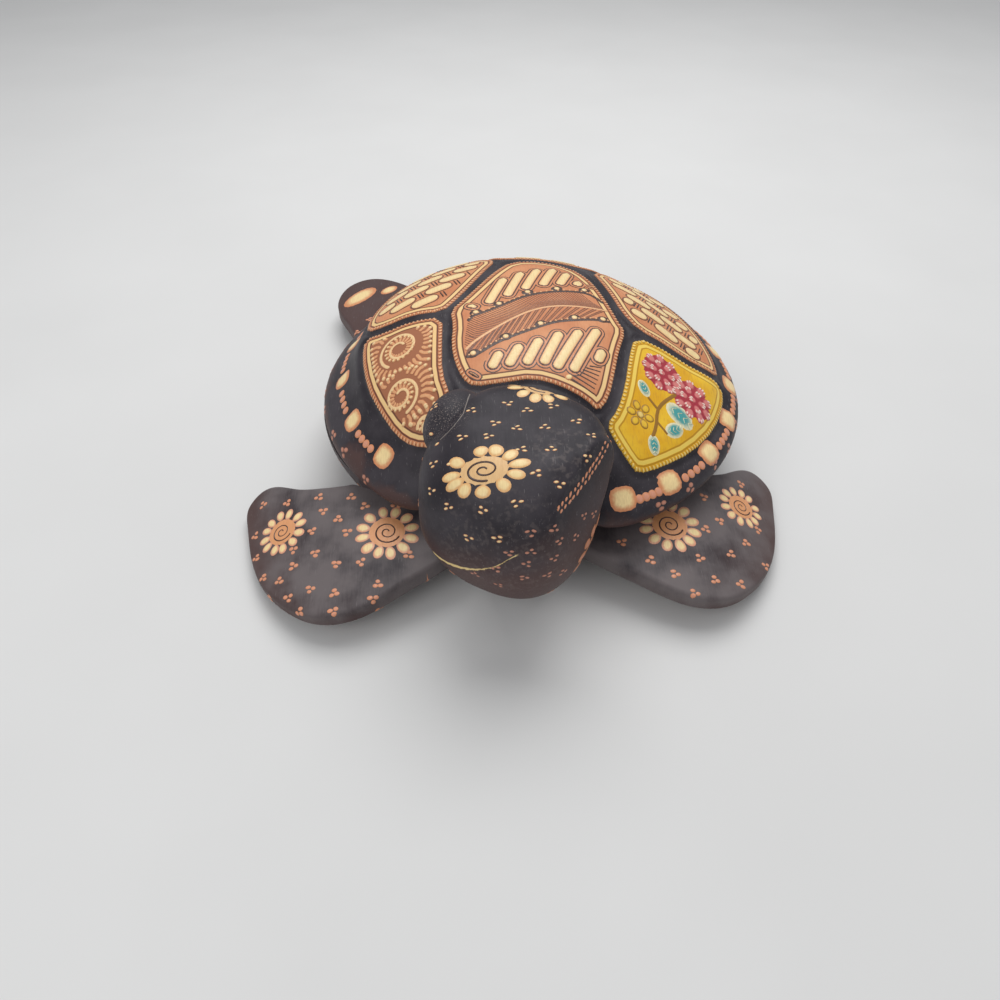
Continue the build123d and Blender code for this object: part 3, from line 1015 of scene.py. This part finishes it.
for scroll in scrolls:
    x, y, reach, start, way = scroll
    arm = []
    for step in range(scroll_steps + 1):
        share = step / scroll_steps
        angle = start + way * 2 * pi * scroll_turns * share
        arm.append(turned(x, y, reach * (0.24 + 0.76 * share), angle))
    arm = [point for point in arm if depth_in(scroll_field, *point) > 3.0]
    dome_stroke(arm, 0.85, (barb_cream, barb_tan), 0.24, 1.15, 0.7)
    for crowd, near, lean, length, width in barb_rings:
        count = int(reach * crowd)
        for step in range(count):
            angle = 2 * pi * step / count
            foot = turned(x, y, reach * near, angle)
            barb(*foot, angle - way * lean, reach * length, way * 0.7, width, scroll)
fill_middle = (-30, -27)
fill_pitch = 1.2
fill_length = 3.0
for row in range(-8, 9):
    for column in range(-22, 23):
        x = fill_middle[0] + row * (fill_length + 0.9)
        y = fill_middle[1] + column * fill_pitch + 0.5 * fill_pitch * (row % 2)
        if min(scaled((x, y), scroll) for scroll in scrolls) < 1.8:
            continue
        near = min(scrolls, key=lambda scroll: scaled((x, y), scroll))
        barb(x, y, near[4] * 0.35 + 0.25 * sin(y * 0.3), fill_length, 0.6, 1.15)


# Front left panel
# Painted yellow, with a spray of two round blossoms, leaves and a small open
# flower on a forked stem.
crimson = (0.42, 0.018, 0.045)
rose = (0.74, 0.22, 0.21)
blush = (0.95, 0.74, 0.64)
teal = (0.05, 0.36, 0.36)
ivory = (0.86, 0.80, 0.52)
ochre_line = (0.32, 0.15, 0.01)
stem_wax = (ochre_line, ochre_line)
blossom_rounds = ((0.78, 9, 0.52), (0.44, 6, 0.42), (0.0, 1, 0.36))


def blossom(x, y, reach):
    """Three rounds of petals, each petal edged in white and pink."""
    dome_dab(x, y, reach * 2, reach * 1.9, 0, (crimson, crimson), 0.10)
    for ring, petals, size in blossom_rounds:
        for step in range(petals):
            angle = 2 * pi * (step + 0.5 * (petals % 2)) / petals
            middle = turned(x, y, reach * ring, angle)
            dome_dab(*middle, reach * size, reach * size * 0.9, angle, (rose, crimson), 0.2)
            for fleck in (-0.8, 0.0, 0.8):
                spot = turned(*middle, reach * size * 0.34, angle + fleck)
                dome_dab(*spot, reach * 0.22, reach * 0.12, angle, (blush, rose), 0.3)


def leaf(x, y, length, turn):
    """A teal leaf edged in ivory, with short ivory veins."""
    tip = turned(x, y, length, turn)
    middle = between((x, y), tip, 0.5)
    dome_dab(*middle, length, length * 0.66, turn, (teal, ivory), 0.16)
    for way in (-0.8, 0.8):
        for step in range(1, 5):
            root = between((x, y), tip, step / 5)
            vein = turned(*root, length * 0.16, turn + way)
            dome_stroke((root, vein), 0.35, (ivory, teal), 0.26)


stems = (
    (((40.8, -37.4), (41.8, -33.0), (41.4, -28.6), (43.6, -24.8), (47.0, -20.6)), 1.0),
    (((41.8, -32.0), (42.6, -34.2), (45.2, -34.4)), 0.8),
    (((41.6, -28.4), (39.8, -26.4), (38.4, -26.2)), 0.8),
)
leaves = ((44.2, -25.4, 9.4, -22), (44.6, -34.4, 6.4, 38), (40.8, -36.5, 5.4, -75), (38.6, -26.0, 5.0, 125))
open_flower = (36.8, -32.2)
open_petal = ((0.90, 0.56, 0.03), ochre_line)
open_heart = ((0.9, 0.66, 0.2), ochre_line)
for path, width in stems:
    dome_stroke(soft(path), width, stem_wax, 0.1)
blossom(42.4, -15.6, 6.2)
blossom(52.4, -19.4, 6.6)
for x, y, length, degrees in leaves:
    leaf(x, y, length, radians(degrees))
for step in range(6):
    angle = 2 * pi * step / 6
    dome_dab(*turned(*open_flower, 2.6, angle), 2.9, 2.3, angle, open_petal, 0.16)
dome_dab(*open_flower, 2.2, 2.2, 0, open_heart, 0.24)


# Rim marks
# Large cream pebbles round the sloping rim, with a chain of four tan dots
# between each pair of them.
pebble_angles = (
    -38, -56, -76, -95, -113, -131, -149, -166, 177, 160, 143, 126, 109, 92, 76, 60, 43, 29
)
pebble_rise = 28.6
rim_lean = 1.6
cast_from = 120


def outward(degrees):
    """The level direction at an angle from the nose, counted towards the turtle's left."""
    a = radians(degrees)
    return Vector((sin(a), -cos(a), 0))


def on_rim(degrees, height):
    """A patch of the sloping rim at an angle from the nose, with the lid closed."""
    out = outward(degrees)
    start = left_open @ (out * cast_from + Vector((0, 0, height)))
    spin = left_open.to_3x3()
    spot, normal = shell_wood.ray_cast(start * MM, spin @ -out)[:2]
    return patch(shell_wood, spot, normal, spin @ Vector((out.y, -out.x, 0)))


for one, two in zip(pebble_angles, pebble_angles[1:] + (None,)):
    aside = sin(radians(one))
    lay = on_rim(one, pebble_rise - rim_lean * aside)
    turn = chance.uniform(-0.15, 0.15)
    shell_marks.dab(lay, 0, 0, 6.6 + 0.8 * aside, 6.4, turn, waxed, 0.3, pebble)
    if two is None:
        continue
    gap = (two - one + 180) % 360 - 180
    for dot in range(4):
        angle = one + gap * (0.30 + 0.135 * dot)
        lay = on_rim(angle, pebble_rise - rim_lean * sin(radians(angle)) - 0.6)
        shell_marks.dab(lay, 0, 0, 2.4, 2.4, 0, salmon_wax, 0.22)


# Marks on the rim's lower roll
# The roll under the sloping rim is worn brown and carries three-dot marks in
# darker colours all round, apart from the notch over the neck.
roll_rise = 24.4
roll_pitch = 10
notch_half_angle = 30
for degrees in range(0, 360, roll_pitch):
    angle = degrees + chance.uniform(-2, 2)
    if abs((angle + 180) % 360 - 180) >= notch_half_angle:
        cluster(shell_marks, on_rim(angle, roll_rise + chance.uniform(-0.8, 0.8)), 1.5, darker_salmon_wax)
shell_marks.finish("shell_wax_marks", "lid", "patterned_wood")


# Head
# Carved with its neck from one block, looking to its right, and glued on a
# dowel. It is dyed and waxed like the body, with a flower on its brow.
head_wood = surface(nodes["head"])
head_turn = radians(30)
head_middle = Vector((-2.8, -62.0, 0))
mouth_tip = Vector((0, -19.3, 30.6))
mouth_climb = radians(54.5)
mouth_skew = radians(24.5)
mouth_wood = (0.80, 0.60, 0.27)
side_distance = 60
eyelid = (441, 414)
scuffed = (568, 452)
chin = (500, 556)
scuff_grey = (0.26, 0.21, 0.19)
crown_paring = 0.25
cheek_corners = ((607, 441), (556, 514), (575, 550))
cheek_share = 0.8
cheek_limit = 2.2
head_face_size = 0.5


def carve_head():
    """The head with its crown pared a little and its left cheek cut flat along the brow ridge."""
    carved = carved_copy("head", "carved_head", 0.003, head_face_size)
    corner, front, jaw = (seen(head_wood, pixel)[0] for pixel in cheek_corners)
    facing = (front - corner).cross(jaw - corner).normalized()
    if facing.x < 0:
        facing = -facing
    crown = cad_box[1].z - crown_paring * MM
    for vertex in carved.data.vertices:
        proud = facing.dot(vertex.co - corner)
        if proud > 0:
            vertex.co -= facing * min(proud * cheek_share, cheek_limit * MM)
        vertex.co.z = min(vertex.co.z, crown)
    bpy.ops.object.shade_smooth_by_angle(angle=radians(40))
    carved.select_set(False)
    return carved


def head_finish():
    """Dyed wood, bare in the mouth cut and rubbed grey on the eyelid, the brow and the chin."""
    finish = Finish("dyed_head_wood", Coat_Roughness=0.4, Specular_IOR_Level=0.3)
    place = finish.place()
    colour, streaks, clouds = dye(finish, place, 0.1, 0.10, 30, 46, -0.3)
    flecks = finish.noise(place, 3600.0, 2.0).ramp(0.60, 0.66)
    blots = finish.noise(place, 800.0, 5.0).ramp(0.48, 0.66)
    worn = ((eyelid, 9, flecks, 0.8), (scuffed, 10, blots, 0.2), (chin, 20, blots, 0.14))
    for pixel, reach, marks, share in worn:
        spot = seen(head_wood, pixel)[0]
        away = finish.node("ShaderNodeVectorMath", {"operation": "DISTANCE"}, ((0, place), (1, spot)), 1)
        near = away.ramp(reach * 0.5 * MM, reach * MM, 1.0, 0.0)
        colour = finish.blend(near * marks * share, colour, scuff_grey)
    tip = Matrix.Rotation(-head_turn, 3, "Z") @ mouth_tip + head_middle
    turn = (mouth_climb, 0, -head_turn - mouth_skew)
    values = (("Vector", place), ("Location", tip * MM), ("Rotation", turn))
    cut = finish.node("ShaderNodeMapping", {"vector_type": "TEXTURE"}, values)
    across, climb, thick = (finish.part(cut, axis) * (1 / MM) for axis in range(3))
    within = across.ramp(-12.4, -12.0) * across.ramp(8.0, 8.8, 1.0, 0.0) * climb.ramp(-9.0, -8.0)
    lip = across.ramp(-9.0, 8.6, 0.60, 0.14)
    mouth = (thick.math("ABSOLUTE") - lip).ramp(-0.05, 0.05, 1.0, 0.0) * within * climb.ramp(12, 14, 1.0, 0.0)
    finish.drive("Base Color", finish.blend(mouth, colour, mouth_wood))
    finish.drive("Roughness", (clouds * 0.2 + streaks * 0.25) + 0.34)
    finish.drive("Coat Weight", clouds.ramp(0.3, 0.8, 0.03, 0.12))
    finish.bump(streaks, 0.05, 0.6)
    return finish


head = carve_head()
wear(head, head_finish())
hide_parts("head")
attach(head, "base")
head_wood = surface(head)
head_marks = Marks()

brow_flower = (484, 470)
crown_flower = (542, 392)
head_clusters = (
    (434, 407), (472, 410), (508, 403), (527, 410), (577, 421), (495, 423), (517, 428), (545, 427),
    (462, 437), (488, 436), (592, 435), (522, 449), (551, 449), (588, 458), (433, 464), (537, 473),
    (560, 484), (431, 491), (448, 507), (482, 510), (517, 503), (468, 538), (498, 539), (553, 406),
)
chin_clusters = (
    (531, 533), (555, 529), (560, 541), (509, 553), (531, 552), (555, 558), (576, 537), (584, 516),
    (594, 514), (527, 564), (548, 575), (524, 578), (499, 585), (563, 572), (475, 574), (496, 569),
)
lone_dots = ((431, 434), (437, 444), (449, 464))
brow_ridge = ((610, 437), (600, 458), (588, 476), (574, 494), (557, 513))
eye_crease = ((470, 394), (466, 405), (463, 415), (452, 429), (440, 440), (424, 451))
ridge_dabs = 15
crease_grey = ((0.22, 0.20, 0.18), (0.10, 0.09, 0.09))

petals_of_brow = (10, 42, 68, 94, 142, 185, 207, 231, 266, 302, 335)
even_petals = tuple(range(12, 372, 30))
brow_wax = (cream, (0.80, 0.44, 0.17))
brow_heart = (0.82, 0.52, 0.24)
brow_slope = 0.62
lay = patch_at(head_wood, brow_flower)
flower(head_marks, lay, 5.3, petals_of_brow, brow_wax, brow_heart, lean=brow_slope)
lay = shifted(patch_at(head_wood, crown_flower), 0, 3.0)
flower(head_marks, lay, 4.4, even_petals, brow_wax, brow_heart)
clusters_at(head_clusters, head_marks, head_wood, 1.0, waxed, 0.72, 0.92)
# The chin's three-dot marks use the darker salmon wax.
clusters_at(chin_clusters, head_marks, head_wood, 0.95, darker_salmon_wax, 0.8, 0.85)
for pixel in lone_dots:
    head_marks.dab(patch_at(head_wood, pixel), 0, 0, 1.3, 0.8)
for step in range(ridge_dabs):
    lay = patch_at(head_wood, along_path(brow_ridge, (step + 0.3) / ridge_dabs))
    for side in (-0.5, 0.5):
        x = side * chance.uniform(0.7, 1.3)
        long = chance.uniform(0.9, 1.6)
        head_marks.dab(lay, x, -side * 0.8, long, 0.65, chance.uniform(0.6, 1.2), salmon_wax)
crease_spot, crease_normal = seen(head_wood, eye_crease[2])
crease_across = (to_right - crease_normal * to_right.dot(crease_normal)).normalized()
crease_path = []
for pixel in eye_crease:
    spot, normal = seen(head_wood, pixel)
    if spot is not None:
        away = (spot - crease_spot) / MM
        crease_path.append((away.dot(crease_across), away.dot(crease_normal.cross(crease_across))))
lay = patch(head_wood, crease_spot, crease_normal)
head_marks.stroke(lay, crease_path, 0.28, crease_grey, 0.06)


def unseen(spot, normal):
    """True where the camera doesn't look, so that marks chosen from the photo aren't doubled."""
    return normal.dot((camera_place - spot).normalized()) < 0.02


def beside_head(height, out):
    """Where a level line from one side, at a height, meets the head."""
    middle = head_middle + Vector((0, 0, height))
    return head_wood.ray_cast((middle + out * side_distance) * MM, -out)[:2]


cheek_side = Vector((0.93, -0.36, 0))
cheek_level = Vector((0.36, 0.93, 0))
lay = patch(head_wood, *beside_head(27, cheek_side), cheek_level)
flower(head_marks, lay, 4.6, even_petals, salmon_wax)
for height, shift in ((20, 0), (28, 14), (36, 0), (44, 14)):
    for degrees in range(shift, shift + 360, 30):
        spot, normal = beside_head(height, outward(degrees))
        if spot is not None and unseen(spot, normal) and normal.z > -0.6:
            cluster(head_marks, patch(head_wood, spot, normal), 1.0)
head_marks.finish("head_wax_marks", "base", "dyed_wood")


# Front flippers
# Thin carved blades, glued and pinned to the body, rubbed grey-brown on top.
# Each has two flowers and a scatter of three-dot marks.
right_flowers = ((282, 532, 4.0), (387, 532, 4.6))
left_flowers = ((670, 525, 4.6), (741, 507, 3.8))
right_clusters = (
    (263, 505), (287, 503), (319, 497), (351, 497), (365, 506), (323, 511), (338, 519),
    (312, 531), (347, 532), (293, 550), (315, 553), (293, 566), (336, 564), (361, 562),
    (409, 555), (263, 578), (279, 581), (310, 589), (334, 593), (378, 584), (288, 598), (270, 598),
    (256, 558), (396, 505), (333, 611), (299, 612), (373, 599), (255, 536),
)
left_clusters = (
    (622, 542), (651, 560), (675, 574), (700, 558), (706, 529), (720, 521), (731, 554), (746, 543),
    (715, 580), (741, 584), (766, 566), (758, 530), (704, 497), (741, 484), (695, 593),
)
flipper_wax = (cream, salmon)
flipper_heart = (0.78, 0.36, 0.16)
flipper_dot = 1.25
flipper_finish = dyed_wood("worn_flipper_wood", 0.5, 0.95, 2, 12)


def spots_over(name, wood, columns, rows, way):
    """Staggered spots over a piece's underside, or its top where the way is -1."""
    low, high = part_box(name)
    start = 0 if way > 0 else high.z + 10 * MM
    for column in range(columns):
        for row in range(rows):
            x = low.x + (high.x - low.x) * (column + 0.5 * (row % 2) + 0.25) / columns
            y = low.y + (high.y - low.y) * (row + 0.5) / rows
            spot, normal = wood.ray_cast(Vector((x, y, start)), Vector((0, 0, way)))[:2]
            if spot is not None:
                yield column, row, spot, normal


for side, flowers, pixels in (
    ("right", right_flowers, right_clusters), ("left", left_flowers, left_clusters)
):
    name = f"front_{side}_flipper"
    wear(nodes[name], flipper_finish)
    wood = surface(nodes[name])
    marks = Marks()
    for u, v, ring in flowers:
        flower(marks, patch_at(wood, (u, v)), ring, even_petals, flipper_wax, flipper_heart, 1.9)
    clusters_at(pixels, marks, wood, flipper_dot)
    for _, _, spot, normal in spots_over(name, wood, 8, 6, 1):
        if normal.z < -0.8:
            cluster(marks, patch(wood, spot, normal), flipper_dot)
    marks.finish(f"{name}_wax_marks", "base", "dyed_wood")


# Body, rear flippers and tail
# The hollow carved body and the small pieces glued to its back, dyed alike,
# with three-dot marks all round.
body_finish = dyed_wood("dyed_body_wood", 0.0, 0.35, 12, 24)
for name in ("body", "rear_left_flipper", "rear_right_flipper", "tail"):
    wear(nodes[name], body_finish)
body_wood = surface(nodes["body"])
body_marks = Marks()
ring_clusters = 28
for height, shift in ((14.5, 0.0), (7.5, 6.5)):
    for step in range(ring_clusters):
        out = outward(360 * step / ring_clusters + shift)
        start = out * cast_from + Vector((0, 0, height))
        spot, normal = body_wood.ray_cast(start * MM, -out)[:2]
        if spot is not None and abs(normal.dot(out)) > 0.6:
            lay = patch(body_wood, spot, normal, Vector((out.y, -out.x, 0)))
            cluster(body_marks, lay, 1.6)
body_marks.finish("body_wax_marks", "base", "dyed_wood")
visible_back = 60
rear_petals = (((360, 297), 14.5, 8.6), ((389, 290), 7.0, 4.6))
for side in ("left", "right"):
    name = f"rear_{side}_flipper"
    wood = surface(nodes[name])
    marks = Marks()
    for column, row, spot, normal in spots_over(name, wood, 5, 8, -1):
        if side == "right" and spot.y > visible_back * MM:
            continue
        if (column, row) == (2, 5):
            flower(marks, patch(wood, spot, normal), 4.2, even_petals, flipper_wax, salmon)
        elif not (3 < row < 7 and 0 < column < 4):
            cluster(marks, patch(wood, spot, normal), flipper_dot)
    if side == "right":
        for pixel, long, wide in rear_petals:
            marks.dab(patch_at(wood, pixel), 0, 0, long, wide, 0.62, waxed, 0.2)
    marks.finish(f"{name}_wax_marks", "base", "dyed_wood")


# Dowels
# Turned from bare pale wood and glued in, apart from the lid's, which is
# glued in the body only.
bare_dark = (0.52, 0.33, 0.17)
bare_pale = (0.72, 0.52, 0.31)
bare = Finish("bare_dowel_wood", Roughness=0.7)
bare_grain = bare.noise(bare.mapped(bare.place(), (0, 0, 0), (1, 1, 0.08)), 1500.0)
bare.drive("Base Color", bare.blend(bare_grain, bare_dark, bare_pale))
bare.bump(bare_grain, 0.08, 0.6)
for name, node in nodes.items():
    if "dowel" in name:
        wear(node, bare)


# Sizes
# The box of the solids and the box of the visible pieces.
for name, (low, high) in (("cad", cad_box), ("visual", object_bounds())):
    list(low)
    list(high)
